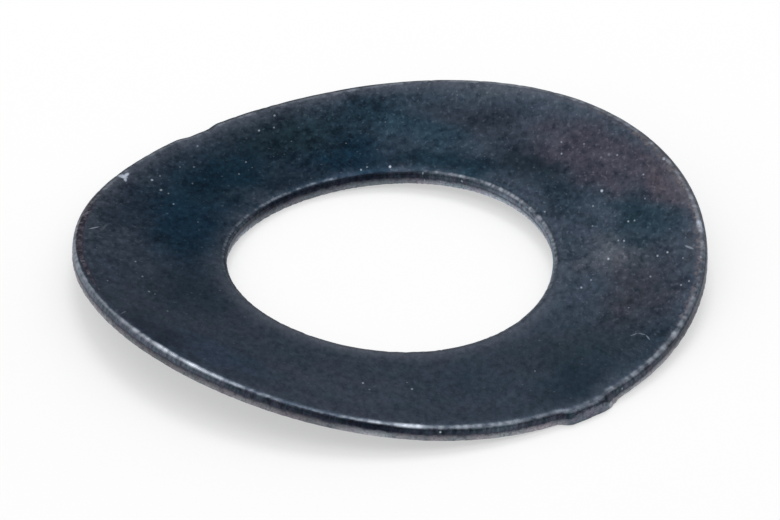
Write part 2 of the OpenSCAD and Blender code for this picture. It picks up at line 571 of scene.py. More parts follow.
streaks = (1 + 0.2 * ring_noise(2.2, 90) + 0.34 * ring_noise(0.8, 91))[:, None]
# Worn steel and a painted highlight on the crest of the roll
wear[:, outer] = by_angle(OUTER_WEAR_AND_HIGHLIGHT) * streaks * crest_profile(
    outer_back, outer_down, by_angle(OUTER_CREST), by_angle(OUTER_LINE))
on_stub_mask[:, outer] = on_stub[:, None]
# Painted reflection on the outer wall, with painted shade at the stub's sides and end
rubbed_and_sheen = by_angle(OUTER_PAINTED_SHEEN) * (1 - on_stub[:, None])
rubbed_and_sheen = rubbed_and_sheen * (1 - STUB_SIDES_SHADE * stub_sides[:, None])
rubbed_and_sheen = rubbed_and_sheen + on_stub[:, None] * np.where(outer_down < STUB_LIP, *STUB_SHEEN)
scuff[:, outer] = rubbed_and_sheen * (1 - STUB_END_SHADE * stub_end_shade[:, None])
torn[:, outer] = by_angle(OUTER_TORN)
band[:, outer] = BAND
halo[:, outer] = by_angle(OUTER_HALO_HIGHLIGHT) * (1 - ease(outer_down, *HALO_HIGHLIGHT_DOWN))
brown[:, outer] = np.maximum(
    by_angle(BROWN_LINE) * top_of_roll(outer_back, by_angle(BROWN_DOWN)),
    film * (1 - ease(outer_down, *FILM_DOWN)))

wear[:, bore] = by_angle(BORE_WEAR_AND_HIGHLIGHT) * streaks * crest_profile(
    bore_back, bore_down, by_angle(BORE_CREST), BORE_LINE)
scuff[:, bore] = by_angle(BORE_PAINTED_SHEEN)
torn[:, bore] = by_angle(BORE_TORN)
band[:, bore] = BAND
halo[:, bore] = by_angle(BORE_HALO_HIGHLIGHT) * (1 - ease(bore_down, *HALO_HIGHLIGHT_DOWN))


def store(name, kind, field, values):
    """Stores values on the washer's points for the materials to read."""
    attribute = mesh.attributes.new(name, kind, "POINT")
    attribute.data.foreach_set(field, values.astype(np.float32).ravel())


store("blank_mm", "FLOAT_VECTOR", "vector", np.stack([flat_x, flat_y, height], -1))
for name, values in {
        "wear": np.clip(wear, 0, 1), "scuff": scuff, "torn": torn, "stub": on_stub_mask,
        "halo": halo, "band": band, "brown": brown}.items():
    store(name, "FLOAT", "value", values)
print("most wear at a point of the outer roll:", round(float(wear.max()), 3))

# %% [markdown]
# ## Laying the surface out flat
# A map of the surface lets the finish be baked to a picture later. The hollow side and the
# underside are two discs. The walls are narrow, so they are cut into strips that get several
# times more room for each millimetre than the discs.

# %% Surface map
DISC = 0.485
MARGIN = 0.01
DISC_SPAN_MM = 2 * (OUTER_R + 0.3)
OUTER_STRIPS = 5
BORE_STRIPS = 3
STRIP_GAP = 0.008


def disc_map(x, y, shift):
    """Places of points of one face on the map."""
    u = shift + (x / DISC_SPAN_MM + 0.5) * DISC
    v = MARGIN + (y / DISC_SPAN_MM + 0.5) * DISC
    return np.stack([u, v], -1)


def strip_map(turn_share, down, strips, strip_length, base):
    """Places of points of a wall, cut into strips that lie above each other."""
    strip = np.minimum(np.floor(turn_share[:, :1] * strips), strips - 1)
    scale = (1 - 2 * MARGIN) / strip_length
    u = MARGIN + (turn_share * strips - strip) * (1 - 2 * MARGIN)
    v = base + strip * (STRIP_T * scale + STRIP_GAP) + down * scale
    return np.stack([u, v], -1)


corner_x = flat_x.ravel()[quads]
corner_y = flat_y.ravel()[quads]
corner_down = HALF_T - height.ravel()[quads]
section_of_quad = np.repeat(np.arange(SECTIONS), AROUND)
turn_start = section_degrees[section_of_quad] / 360
turn_end = np.append(section_degrees, 360.0)[section_of_quad + 1] / 360
corner_turn = np.stack([turn_start, turn_start, turn_end, turn_end], 1)

quad_band = np.tile(bands, SECTIONS)
point_of_quad = np.tile(np.arange(AROUND), SECTIONS)
on_outer = (point_of_quad >= outer_start) & (point_of_quad < bore_start)
outer_length = 2 * math.pi * OUTER_R / OUTER_STRIPS
bore_length = 2 * math.pi * BORE_R / BORE_STRIPS
outer_base = DISC + 2 * MARGIN
outer_room = OUTER_STRIPS * (STRIP_T * (1 - 2 * MARGIN) / outer_length + STRIP_GAP)
walls = {
    True: strip_map(corner_turn, corner_down, OUTER_STRIPS, outer_length, outer_base),
    False: strip_map(corner_turn, corner_down, BORE_STRIPS, bore_length,
                     outer_base + outer_room + MARGIN)}
on_wall = np.isin(quad_band, (SHEARED, TORN))
layout = disc_map(corner_x, corner_y, MARGIN)
under = quad_band == UNDERSIDE
layout[under] = disc_map(-corner_x, corner_y, DISC + 2 * MARGIN)[under]
for outside, places in walls.items():
    chosen = on_wall & (on_outer == outside)
    layout[chosen] = places[chosen]
surface_map = mesh.uv_layers.new(name="OFBake")
surface_map.data.foreach_set("uv", layout.astype(np.float32).ravel())
print("map reaches", layout.min().round(3), "to", layout.max().round(3))

# %% [markdown]
# ## Small words for shader nodes
# A material is a graph of nodes. Written out in full, each node takes several lines, which hides
# the idea. These helpers add one node each to the tree that lies on the bench, and return its
# outputs. Outputs can be added, subtracted and multiplied like numbers, and each such step adds a
# node too, so that a finish reads like a short recipe. A value given to a helper may be a plain
# number or another node's output.

# %% Node helpers
bench = {}


class Output:
    """A node's output, which can be reckoned with like a number."""

    def __init__(self, socket):
        self.socket = socket

    def __add__(self, other):
        return calc("ADD", self, other)

    def __sub__(self, other):
        return calc("SUBTRACT", self, other)

    def __mul__(self, other):
        return calc("MULTIPLY", self, other)


def start_nodes(owner):
    """Empties the tree of a material or a world, and lays it on the bench."""
    owner.use_nodes = True
    owner.node_tree.nodes.clear()
    bench["tree"] = owner.node_tree


def fill(socket, value):
    """Sets a socket to a plain value, or links another node's output to it."""
    if isinstance(value, Output):
        bench["tree"].links.new(value.socket, socket)
    else:
        socket.default_value = value


def node(kind, inputs, **settings):
    """Adds a node with its settings and inputs. Gives its outputs, by name and by number."""
    made = bench["tree"].nodes.new("ShaderNode" + kind)
    for name, value in settings.items():
        setattr(made, name, value)
    for name, value in inputs.items():
        fill(made.inputs[name], value)
    outputs = {socket.name: Output(socket) for socket in made.outputs}
    return outputs | {k: Output(socket) for k, socket in enumerate(made.outputs)}


print("helpers for the shader nodes of Blender", bpy.app.version_string)

# %% [markdown]
# ## Words for reckoning, patterns and colours
# With the helpers above, each of these is one line or two: arithmetic on values and places, a
# soft step, noise, and the mixing of colours. Sockets that share a name with another one on
# their node are chosen by number.

# %% Reckoning, patterns and colours
def calc(operation, a, b=0.0, c=0.0):
    """One step of arithmetic."""
    return node("Math", {0: a, 1: b, 2: c}, operation=operation)[0]


def larger(a, b):
    """The larger of two values."""
    return calc("MAXIMUM", a, b)


def scaled(value, factor, added):
    """A value times a factor, with something added."""
    return calc("MULTIPLY_ADD", value, factor, added)


def place_calc(operation, a, b, output=0):
    """One step of arithmetic on places."""
    return node("VectorMath", {0: a, 1: b}, operation=operation)[output]


def axes_of(place):
    """The three parts of a place."""
    return node("SeparateXYZ", {0: place})


def eased(value, start, end, low=0.0, high=1.0):
    """Eases from low at start to high at end."""
    inputs = {"Value": value, 1: start, 2: end, 3: low, 4: high}
    return node("MapRange", inputs, interpolation_type="SMOOTHSTEP")[0]


def noise(place, scale, detail=2.0, roughness=0.5):
    """Soft random values around 0.5. The scale is in patches for each millimetre."""
    inputs = {"Vector": place, "Scale": scale, "Detail": detail, "Roughness": roughness}
    return node("TexNoise", inputs)[0]


def mix(amount, a, b, mode="MIX"):
    """Mixes two colours."""
    return node("Mix", {0: amount, 6: a, 7: b}, data_type="RGBA", blend_type=mode)[2]


def toned(colour, change, amount=1.0):
    """A colour multiplied by another one, or by a plain tone."""
    return mix(amount, colour, change, "MULTIPLY")


def paint(red, green, blue):
    """A colour as a picture shows it, 0 to 255, turned into what a shader works with."""
    shares = [value / 255 for value in (red, green, blue)]
    return *[s / 12.92 if s <= 0.04045 else ((s + 0.055) / 1.055) ** 2.4 for s in shares], 1.0


def stored(name, output="Fac"):
    """Reads what the mesh stores for the materials."""
    return node("Attribute", {}, attribute_name=name)[output]


print("dark blue oxide as a shader sees it:", [round(v, 3) for v in paint(50, 62, 75)[:3]])

# %% [markdown]
# ## Groups of nodes
# An effect that several finishes share is built once, as a group with named inputs and outputs,
# and placed in each material with its own values. This helper makes such a group: it opens the
# sockets, lets a small function fill the inside, and links what the function returns. It gives
# back a function that places the group.

# %% Making a node group
SOCKET_KINDS = {
    "place": "NodeSocketVector", "below": "NodeSocketColor", "change": "NodeSocketColor",
    "tint": "NodeSocketColor"}


def make_group(name, inputs, outputs, build):
    """A node group whose inside is made by build(*inputs), which returns the outputs."""
    tree = bpy.data.node_groups.new(name, "ShaderNodeTree")
    for direction, names in (("INPUT", inputs), ("OUTPUT", outputs)):
        for socket in names.split():
            kind = SOCKET_KINDS.get(socket, "NodeSocketFloat")
            tree.interface.new_socket(name=socket, in_out=direction, socket_type=kind)
    entry = tree.nodes.new("NodeGroupInput")
    leave = tree.nodes.new("NodeGroupOutput")
    bench["tree"] = tree
    results = build(*[Output(socket) for socket in entry.outputs if socket.name])
    for socket, value in results.items():
        fill(leave.inputs[socket], value)

    def place_group(**values):
        return node("Group", values, node_tree=tree)

    print("group", name, "has", len(tree.nodes), "nodes")
    return place_group


# %% [markdown]
# ## Grain of the steel
# Cold-rolled strip that has been tumbled and blackened is never smooth: it carries a fine,
# salt-and-pepper grain with some softer clouds over it. Rolling has drawn the grain out a little
# along one direction. It changes the tone and is also a height for the bump, so that it breaks
# up reflections as the real one does. Between the clouds the hue drifts from teal to plum.
# A pale grain is grey and not a brighter blue, so red and green change more than blue does, by
# as much as the colour below lacks them.

# %% Group: steel grain
GRAIN_TURN = CAMERA_AZIMUTH
GRAIN_STRETCH = 1.6
CLOUD_PRESS = (0.75, 1.5, 1.0)
FINE_SHARE = 0.6
GREY_POWER = 0.42
PLAIN_OXIDE = (0.54, 0.76, 1.0, 1.0)
BLUE_OXIDE = (0.28, 0.63, 1.0, 1.0)


def build_grain(place, below, fine, cloud, clouding, contrast, salt, drift):
    drawn = node("Mapping", {
        "Vector": place, "Rotation": (0, 0, GRAIN_TURN),
        "Scale": (1, GRAIN_STRETCH, 1)}, vector_type="TEXTURE")[0]
    streaked = place_calc("MULTIPLY", drawn, CLOUD_PRESS)
    grains = noise(drawn, fine, 2.0, 0.6)
    clouds = noise(streaked, cloud, 3.0, 0.6)
    height = scaled(grains, FINE_SHARE, clouds * (1 - FINE_SHARE))
    softer = (clouds - 0.5) * clouding
    spread = scaled(grains - 0.5, FINE_SHARE, softer)
    salted = eased(noise(drawn, fine * 1.3, 1.0), 0.55, 0.8, 0.0, salt)
    lifted = spread + scaled(salt, -0.1, salted)
    tone = larger(scaled(lifted, contrast, 1.0), 0.5)
    hue = (noise(place, 1.5, 2.0) - 0.5) * drift
    channels = node("SeparateColor", {0: below})
    step = tone - 1.0
    red, green = [
        scaled(step, calc("POWER", calc("DIVIDE", channels[2], channels[k]), GREY_POWER), 1.0)
        for k in (0, 1)]
    change = node("CombineColor", {
        0: larger(red + hue, 0.1), 1: scaled(hue, -0.35, green), 2: tone})[0]
    return {"tone": tone, "change": change, "height": height}


steel_grain = make_group(
    "steel_grain", "place below fine cloud clouding contrast salt drift",
    "tone change height", build_grain)

# %% [markdown]
# ## Specks of dust and bright pinholes
# Tiny light points are scattered over the whole washer: dust, and pinholes in the oxide. Each
# cell of a Voronoi pattern holds one point. A random number for each cell decides whether it
# shows and how big it is, which keeps them sparse and all different.

# %% Group: specks
def build_specks(place, per_mm, share, size):
    cells = node("TexVoronoi", {"Vector": place, "Scale": per_mm, "Randomness": 1.0})
    draw = node("SeparateColor", {0: cells["Color"]})
    shows = calc("LESS_THAN", draw[0], share)
    rim = size * scaled(draw[1], 0.8, 0.4)
    point = eased(cells["Distance"], rim * 0.35, rim, 1.0, 0.0)
    faint = scaled(draw[2], 0.7, 0.3)
    return {"mask": point * shows * faint}


specks = make_group("specks", "place per_mm share size", "mask", build_specks)

# %% [markdown]
# ## Edge wear and painted highlight
# Where the mesh says that an edge is worn, the black layer breaks up into streaks and crumbs, and
# bright steel shows through. On the rolled edge the amount also carries a painted highlight. The
# amount comes from the mesh, and this group breaks it up with noise, so that the line is never
# even.

# %% Group: edge wear and painted highlight
def build_wear(place, amount, crumbs, break_up):
    swing = (noise(place, crumbs, 3.0, 0.6) - 0.5) * break_up
    return {"mask": eased(amount + swing, 0.08, 0.95)}


edge_wear = make_group("edge_wear", "place amount crumbs break_up", "mask", build_wear)

# %% [markdown]
# ## Brown crumbs
# At both ends of the arc the edge carries brown crumbs, where the bath left a thin rusty film.
# With a small amount only separate crumbs show, and with a large one they close to a band. They
# are darkest at the left end and greyer at the right one, and on the upper left some crumbs are
# painted pale, a painted highlight on the lumps.

# %% Group: brown crumbs
LOW_LEFT_CRUMB = paint(32, 36, 49)
UPPER_LEFT_CRUMB = paint(46, 41, 52)
PALE_CRUMB_HIGHLIGHT = paint(118, 115, 125)
RIGHT_CRUMBS = (paint(66, 64, 69), paint(92, 88, 93))


def build_crumbs(place, amount):
    lumps = noise(place, 6.2, 2.0, 0.65)
    mask = eased(lumps + amount, 0.75, 1.3)
    parts = axes_of(place)
    light = eased(lumps, 0.40, 0.66)
    upper = eased(parts[1], 1.0, 3.8)
    thick = eased(amount, 0.45, 0.8)
    patchy = eased(noise(place, 1.6, 1.0), 0.36, 0.56, 0.4, 1.0)
    dark = mix(upper, LOW_LEFT_CRUMB, UPPER_LEFT_CRUMB)
    # Pale crumbs on the upper left: a painted highlight on the lumps
    left = mix((light * upper) * (thick * patchy), dark, PALE_CRUMB_HIGHLIGHT)
    right = mix(light, *RIGHT_CRUMBS)
    colour = mix(eased(parts[0], -3.0, 3.0), left, right)
    return {"mask": mask * 0.9, "tint": colour}


brown_crumbs = make_group("brown_crumbs", "place amount", "mask tint", build_crumbs)

# %% [markdown]
# ## Hairline scratches
# Tumbled parts carry hairlines in every direction. Noise that is stretched a long way in one
# direction, and then cut to a thin slice of its values, gives short broken lines. Two layers at
# different angles are enough.

# %% Group: hairlines
LAYERS = ((0.5, 0.0), (2.1, 7.0))
HAIR_STRETCH = (9.0, 0.35, 1.0)


def build_hairlines(place, width):
    total = None
    for turn, shift in LAYERS:
        stretched = node("Mapping", {
            "Vector": place, "Location": (shift, shift, 0), "Rotation": (0, 0, turn),
            "Scale": HAIR_STRETCH})[0]
        slices = calc("ABSOLUTE", noise(stretched, 1.0, 2.0, 0.5) - 0.5)
        line = eased(slices, 0.0, width, 1.0, 0.0)
        total = line if total is None else larger(total, line)
    return {"mask": total * eased(noise(place, 0.6, 2.0), 0.48, 0.68)}


hairlines = make_group("hairlines", "place width", "mask", build_hairlines)

# %% [markdown]
# ## An oval on the blank
# Temper colours, chips and scratches all have a place of their own. Each is an oval: a long thin
# one is a scratch, a tiny round one a speck, and a wide soft one a cloud of another colour.

# %% Ovals
def oval(place, middle, half_length, half_width, turn=0.0, soft=0.5):
    """1 inside an oval on the blank, easing to 0 at its rim. Turn is in degrees."""
    away = place_calc("SUBTRACT", place, (middle[0], middle[1], 0))
    cos = math.cos(math.radians(turn))
    sin = math.sin(math.radians(turn))
    along = place_calc("DOT_PRODUCT", away, (cos / half_length, sin / half_length, 0), 1)
    across = place_calc("DOT_PRODUCT", away, (-sin / half_width, cos / half_width, 0), 1)
    away_share = calc("SQRT", scaled(along, along, across * across))
    return eased(away_share, 1 - soft, 1.0, 1.0, 0.0)


print("pixels to a millimetre:", round(PIXELS_PER_RADIAN * MM / CAMERA_DISTANCE, 1))

# %% [markdown]
# ## The blackened face
# The face is a blue-black oxide. Its colour changes over the face: grey-blue at the ends of the
# arc, dark teal in a belt across the upper half, and a warmer plum-grey on the right. The colours
# are laid as soft clouds whose rims are bent by noise, and one pale cloud on the right is a
# painted highlight.

# %% Colours of the oxide
OXIDE = paint(51, 61, 74)
CLOUDS = (
    # middle x, middle y, half length, half width, turn, softness, percent, colour
    ("cool left end", -8.5, -1.9, 3.2, 1.4, 105, 0.9, 80, (48, 62, 81)),
    ("grey upper left", -8.1, 4.3, 2.5, 1.1, 62, 0.9, 80, (53, 63, 79)),
    ("dark left of the bore", -6.4, 2.1, 3.1, 1.9, 65, 0.9, 85, (31, 46, 60)),
    ("blue belt, left", -3.8, 5.6, 4.3, 2.4, 50, 0.8, 92, (9, 38, 56)),
    ("blue belt, top", -0.7, 7.3, 3.5, 2.6, -2, 0.8, 92, (6, 34, 49)),
    ("lilac upper left", -4.6, 7.3, 2.3, 1.1, 44, 0.9, 75, (26, 40, 56)),
    ("green-grey top", 2.3, 7.5, 3.6, 2.4, -29, 0.9, 88, (16, 35, 44)),
    ("deep blue above the bore", 2.7, 5.6, 2.7, 2.0, -18, 0.9, 90, (4, 33, 50)),
    ("teal top right", 4.7, 7.0, 3.0, 1.8, -42, 0.9, 68, (12, 37, 50)),
    ("dark belt right of the bore", 4.8, 3.1, 3.4, 0.9, -58, 0.8, 85, (16, 39, 52)),
    ("pale streak", 5.3, 5.1, 3.0, 1.2, -81, 0.9, 80, (33, 54, 68)),
    ("dark plum streak", 6.9, 3.8, 3.0, 1.3, -67, 0.9, 80, (38, 45, 56)),
    ("dark teal spot", 6.7, 0.9, 2.5, 1.3, -72, 0.9, 74, (8, 23, 32)),
    ("teal streak", 7.3, -3.2, 2.0, 0.7, -73, 0.9, 60, (24, 43, 55)),
    ("plum band", 8.4, -0.6, 4.2, 1.9, 98, 0.6, 85, (59, 58, 69)),
    ("brown right rim", 9.0, -3.1, 3.0, 0.9, 72, 0.9, 75, (66, 62, 70)),
    ("blue-grey upper right", 8.0, 5.4, 2.8, 0.8, -64, 0.9, 80, (57, 67, 77)),
    ("teal right", 7.2, -3.7, 2.3, 1.3, 66, 0.9, 80, (31, 49, 60)),
    # The pale cloud is a painted highlight on the face
    ("pale cloud", 5.4, -4.5, 1.6, 1.6, -42, 0.9, 85, (77, 81, 89)),
    ("grey-lilac low right", 4.8, -6.6, 3.4, 1.8, 40, 0.9, 80, (47, 49, 57)),
    ("teal low right edge", 7.4, -6.0, 1.8, 0.7, 56, 0.9, 70, (48, 54, 63)),
    ("grey low", 1.5, -7.4, 3.6, 1.9, -19, 0.9, 80, (35, 46, 55)),
    ("dark near the stub", 0.5, -8.7, 3.1, 1.4, 7, 0.9, 85, (27, 42, 54)),
    ("pale low left", -6.3, -5.6, 3.8, 2.0, -47, 0.9, 80, (61, 70, 84)),
    ("teal-grey low", -2.5, -7.0, 1.8, 1.5, -12, 0.9, 70, (43, 56, 69)),
    ("dark rim above the bore", 0.4, 5.7, 2.0, 0.8, -4, 0.9, 60, (4, 24, 38)),
    ("dark rim low right", 3.5, -8.8, 2.2, 0.7, 22, 0.9, 80, (30, 43, 55)),
    ("dark left rim", -9.5, -0.3, 2.8, 0.8, 86, 0.9, 65, (32, 42, 56)),
    ("dark above the stub", 0.2, -9.3, 1.5, 0.6, 0, 0.9, 60, (27, 43, 55)),
    ("teal right of the bore", 6.2, -0.9, 2.0, 1.0, 80, 0.9, 70, (30, 45, 57)))


def oxide_colour(place):
    """The clouds laid over the plain oxide, one after another, with their rims bent."""
    wobble = node("TexNoise", {"Vector": place, "Scale": 0.9, "Detail": 4.0})["Color"]
    shift = place_calc("SUBTRACT", wobble, (0.5, 0.5, 0.5))
    moved = place_calc("ADD", place, place_calc("MULTIPLY", shift, (2, 2, 0)))
    colour = OXIDE
    for _, x, y, half_length, half_width, turn, soft, percent, tint in CLOUDS:
        mask = oval(moved, (x, y), half_length, half_width, turn, soft)
        colour = mix(mask * (percent / 100), colour, paint(*tint))
    return colour


print("clouds on the oxide:", len(CLOUDS))

# %% [markdown]
# ## Marks on the face
# These are the marks one would point at: a small branched chip near the upper left, a few short
# scratches, and the brightest specks. Each is placed by the pixel where it is seen.

# %% Marks on the face
SPECKS = (
    # pixel x, pixel y, half size in thousandths of a mm, percent
    (152, 180, 60, 45), (161, 190, 60, 34), (168.5, 193.5, 45, 20), (173.5, 204, 45, 28),
    (160, 176, 45, 17), (180, 167, 45, 14), (194, 167, 45, 17), (192.5, 183.5, 45, 14),
    (197.5, 146, 45, 25), (259, 130.5, 50, 34), (274.5, 115.5, 55, 28), (274, 127.5, 45, 22),
    (246, 162, 45, 20), (239, 174, 45, 17), (361, 169.5, 45, 28), (367, 167, 45, 20),
    (390, 166.5, 60, 49), (363, 383, 50, 40), (412, 389, 50, 35), (369.5, 389.5, 45, 17),
    (535, 371, 45, 14), (198, 222, 45, 11), (135.5, 261.5, 50, 22), (142.5, 276.5, 50, 22),
    (107.5, 280.5, 45, 17), (149, 291.5, 50, 22), (155, 294, 40, 17), (167.5, 311, 45, 14),
    (561.5, 142, 40, 17), (561.5, 153.7, 45, 25), (544.8, 211.6, 45, 22), (584, 144, 40, 20),
    (617.2, 155, 45, 22), (601, 157.5, 60, 8), (609, 154.5, 70, 11), (643.4, 174.5, 45, 22),
    (645, 198.5, 40, 17), (593, 206, 45, 22), (592.5, 226, 40, 20), (601.8, 190.8, 65, 44),
    (628.3, 221.4, 45, 31), (634.5, 220.5, 40, 22), (618.3, 240.5, 40, 25), (624, 240.8, 45, 31),
    (608.4, 258.8, 50, 38), (657.5, 255.8, 50, 27), (667.5, 252.2, 50, 31), (683, 258, 40, 17),
    (700.5, 256.5, 50, 36), (591, 280, 45, 20), (650.5, 276.5, 45, 22), (581.3, 287.5, 50, 30),
    (689, 281, 45, 22), (681, 285, 45, 22), (648, 142.7, 60, 20), (663.8, 158.3, 70, 63))
SPECK_HEIGHT = 1.6
STROKES = (
    # pixel from, pixel to, half width in thousandths of a mm, percent
    (120.5, 175, 124.5, 177, 150, 100), (124.5, 176.5, 128, 173, 90, 100),
    (124.5, 176, 125.6, 181.2, 70, 70), (88, 229, 100, 226.5, 50, 28),
    (100, 231.5, 108, 223, 60, 6), (630, 336, 638, 333, 30, 14), (638, 333, 646, 335, 30, 14),
    (646, 335, 650, 340, 30, 17), (685, 245.5, 693.5, 249, 60, 17),
    (698.8, 219, 700.8, 230, 140, 50), (120.5, 313.5, 126.5, 311, 30, 14))
PIT = (196, 306)
PIT_HALVES = (0.07, 0.05)


def face_marks(place):
    """Light marks, and the one dark pit, as two masks."""
    light = 0.0
    turn = math.degrees(CAMERA_AZIMUTH) + 90
    for x, y, half, percent in SPECKS:
        mask = oval(place, on_blank(x, y), half / 1000 * SPECK_HEIGHT, half / 1000, turn, 0.8)
        light = larger(light, mask * (percent / 100))
    for x0, y0, x1, y1, half, percent in STROKES:
        start = Vector(on_blank(x0, y0))
        end = Vector(on_blank(x1, y1))
        run = end - start
        turn = math.degrees(math.atan2(run.y, run.x))
        reach = run.length / 2 + half / 1000
        mask = oval(place, (start + end) / 2, reach, half / 1000, turn, 0.6)
        light = larger(light, mask * (percent / 100))
    return light, oval(place, on_blank(*PIT), *PIT_HALVES, 0, 0.9)


print("light marks placed one by one:", len(SPECKS) + len(STROKES))

# %% [markdown]
# ## Chips on the walls
# A few chips and scratches also cross the walls. Each has an edge, an angle round the blank and
# a height above the middle of the strip. The group unrolls both walls to one flat strip and lays
# ovals on it. The outside wall is moved far along, so that the two never share a mark.

# %% Group: wall chips
OUTSIDE_MOVED = 100.0
BETWEEN_WALLS = (BORE_R + OUTER_R) / 2
WALL_CHIPS = (
    # edge radius, angle, height, half length along, half height, turn, amount
    (BORE_R, 25.3, 0.10, 0.05, 0.06, -30, 0.5), (BORE_R, 33.8, -0.08, 0.02, 0.07, 10, 0.7),
    (BORE_R, 39.5, -0.11, 0.018, 0.10, -6, 0.9), (BORE_R, 40.0, 0.17, 0.03, 0.05, 0, 0.5),
    (OUTER_R, 240.7, 0.09, 0.045, 0.05, 0, 0.95), (OUTER_R, 278.0, 0.06, 0.03, 0.045, 25, 0.7),
    (OUTER_R, 274.4, -0.15, 0.13, 0.10, 20, 0.8))


def from_axis(place):
    """How far a place is from the axis of the bore, in mm."""
    level = place_calc("MULTIPLY", place, (1, 1, 0))
    return node("VectorMath", {0: level}, operation="LENGTH")["Value"]


def build_chips(place):
    parts = axes_of(place)
    reach = from_axis(place)
    angle = calc("FLOORED_MODULO", calc("ARCTAN2", parts[1], parts[0]), 2 * math.pi)
    outside = calc("GREATER_THAN", reach, BETWEEN_WALLS)
    wall_r = scaled(outside, OUTER_R - BORE_R, BORE_R)
    along = scaled(angle, wall_r, outside * OUTSIDE_MOVED)
    unrolled = node("CombineXYZ", {0: along, 1: parts[2]})[0]
    total = 0.0
    for edge_r, degrees_round, up, half_along, half_up, turn, amount in WALL_CHIPS:
        moved = OUTSIDE_MOVED if edge_r == OUTER_R else 0.0
        middle = (edge_r * math.radians(degrees_round) + moved, up)
        mask = oval(unrolled, middle, half_along, half_up, turn, 0.7)
        total = larger(total, mask * amount)
    return {"mask": total}


wall_chips = make_group("wall_chips", "place", "mask", build_chips)

# %% [markdown]
# ## Putting a finish together
# Every finish ends the same way: a colour, a roughness, a share of bare metal, and a height that
# becomes a bump. The edge tint of the metal is lowered, because a black oxide doesn't flash
# white at a glancing angle as bare steel does.

# %% The shader at the end of every finish
BUMP_MM = 0.006
STEEL = paint(172, 179, 190)
DUST = paint(218, 230, 246)


def finish_material(name, build, metal, bump, edge_tint):
    """A material whose colour, roughness and height come from build()."""
    material = bpy.data.materials.new(name)
    start_nodes(material)
    colour, roughness, height = build()
    relief = node("Bump", {"Height": height, "Strength": bump, "Distance": BUMP_MM * MM})[0]
    shader = node("BsdfPrincipled", {
        "Base Color": colour, "Roughness": roughness, "Metallic": metal, "Normal": relief,
        "Specular Tint": (edge_tint, edge_tint, edge_tint, 1)})[0]
    node("OutputMaterial", {"Surface": shader})
    mesh.materials.append(material)
    print("finish", name, "has", len(material.node_tree.nodes), "nodes")


def under_crumbs(colour, place):
    """A colour with the brown crumbs laid over it."""
    crumbs = brown_crumbs(place=place, amount=stored("brown"))
    return mix(crumbs["mask"], colour, crumbs["tint"])


def worn_and_highlit_line(place):
    """Where the bright line on the rolled edge shows: worn steel, and a painted highlight with it.
    """
    return edge_wear(place=place, amount=stored("wear"), crumbs=6.0, break_up=0.42)["mask"]


# %% [markdown]
# ## Finish of the hollow side
# The grain is coarser toward the right end and the top, so one value rises that way and sets the
# contrast, the salt and the crowd of specks. Over the grain come, in this order: dust and marks,
# the painted highlight along the edges, brown crumbs, and the worn line with its painted
# highlight.

# %% Finish: blackened face
# Middle, half length, half width and amount of the patches where the grain is coarser
ROUGH_PATCHES = ((3.4, 6.8, 3.4, 2.8, 1.2), (6.2, -2.5, 3.2, 4.6, 0.3))
BLUE_BELT = {"middle": (-1.5, 5.5), "half_length": 8.0, "half_width": 5.0, "turn": 10, "soft": 0.8}
# Colour of the painted highlight along the edges
HALO_HIGHLIGHT = paint(101, 106, 118)
DARK_PIT = paint(18, 20, 28)


def build_face():
    place = stored("blank_mm", "Vector")
    parts = axes_of(place)
    coarser = larger(parts[0], parts[1] * 0.7)
    rough = 0.0
    for x, y, half_length, half_width, amount in ROUGH_PATCHES:
        patch = oval(place, (x, y), half_length, half_width, 0, 0.8)
        rough = scaled(patch, amount, rough)
    belt = oval(place, **BLUE_BELT)
    grain = steel_grain(
        place=place, below=mix(belt, PLAIN_OXIDE, BLUE_OXIDE), fine=6.2, cloud=1.7,
        clouding=eased(coarser, 0.0, 5.0, 0.08, 0.5),
        contrast=eased(coarser, 0.0, 5.0, 1.8, 2.45) + rough,
        salt=eased(coarser, 0.0, 5.0, 0.12, 0.3), drift=eased(coarser, 0.0, 5.0, 0.3, 0.15))
    colour = toned(oxide_colour(place), grain["change"])

    crowd = eased(coarser, 2.0, 6.0, 0.10, 0.26)
    dots = specks(place=place, per_mm=3.2, share=crowd, size=0.1)
    lines = hairlines(place=place, width=0.012)
    light, pit = face_marks(place)
    crowd = eased(coarser, 0.0, 6.0, 0.14, 0.3)
    small = specks(place=place, per_mm=5.5, share=crowd, size=0.24)
    dust = larger(dots["mask"] * 0.2, light)
    dust = larger(dust, small["mask"] * 0.09)
    dust = larger(dust, lines["mask"] * 0.022)
    colour = mix(dust, colour, DUST)
    colour = mix(pit * 0.7, colour, DARK_PIT)

    # Painted highlight along the edges, on the roll and the face beside it
    colour = mix(stored("halo") * grain["tone"] * 0.75, colour, HALO_HIGHLIGHT)
    colour = under_crumbs(colour, place)
    worn_and_highlit = worn_and_highlit_line(place)
    # The bright line: worn steel and a painted highlight
    colour = mix(worn_and_highlit, colour, STEEL)
    roughness = eased(worn_and_highlit, 0.0, 1.0, 0.46, 0.4)
    return colour, scaled(grain["height"] - 0.5, 0.3, roughness), grain["height"]


finish_material("blackened_face", build_face, metal=0.9, bump=0.5, edge_tint=0.5)

# %% [markdown]
# ## The sheared band
# Here the punch slid along the steel and burnished it. The oxide on it is smooth and very dark,
# drawn into fine upright lines, and a painted reflection lightens it as the wall turns away from
# the camera.
# Toward the tear it fades into a mottled lilac, so no hard line shows between the two bands.

# %% Finish: sheared band
BURNISHED = paint(19, 25, 37)
# Colour of the painted reflection on the sheared band
SHEEN_COLOUR = paint(137, 151, 168)
LILAC = paint(62, 60, 76)


def wall_place(upright):
    """Place on a wall, with its height pressed together, which draws a pattern out upright."""
    return place_calc("MULTIPLY", stored("blank_mm", "Vector"), (1, 1, upright))


def near_tear(mottle, start, end):
    """Rises where the sheared band gives way to the torn one, with a ragged line."""
    return eased(scaled(mottle - 0.5, 1.2, stored("band")), start, end)


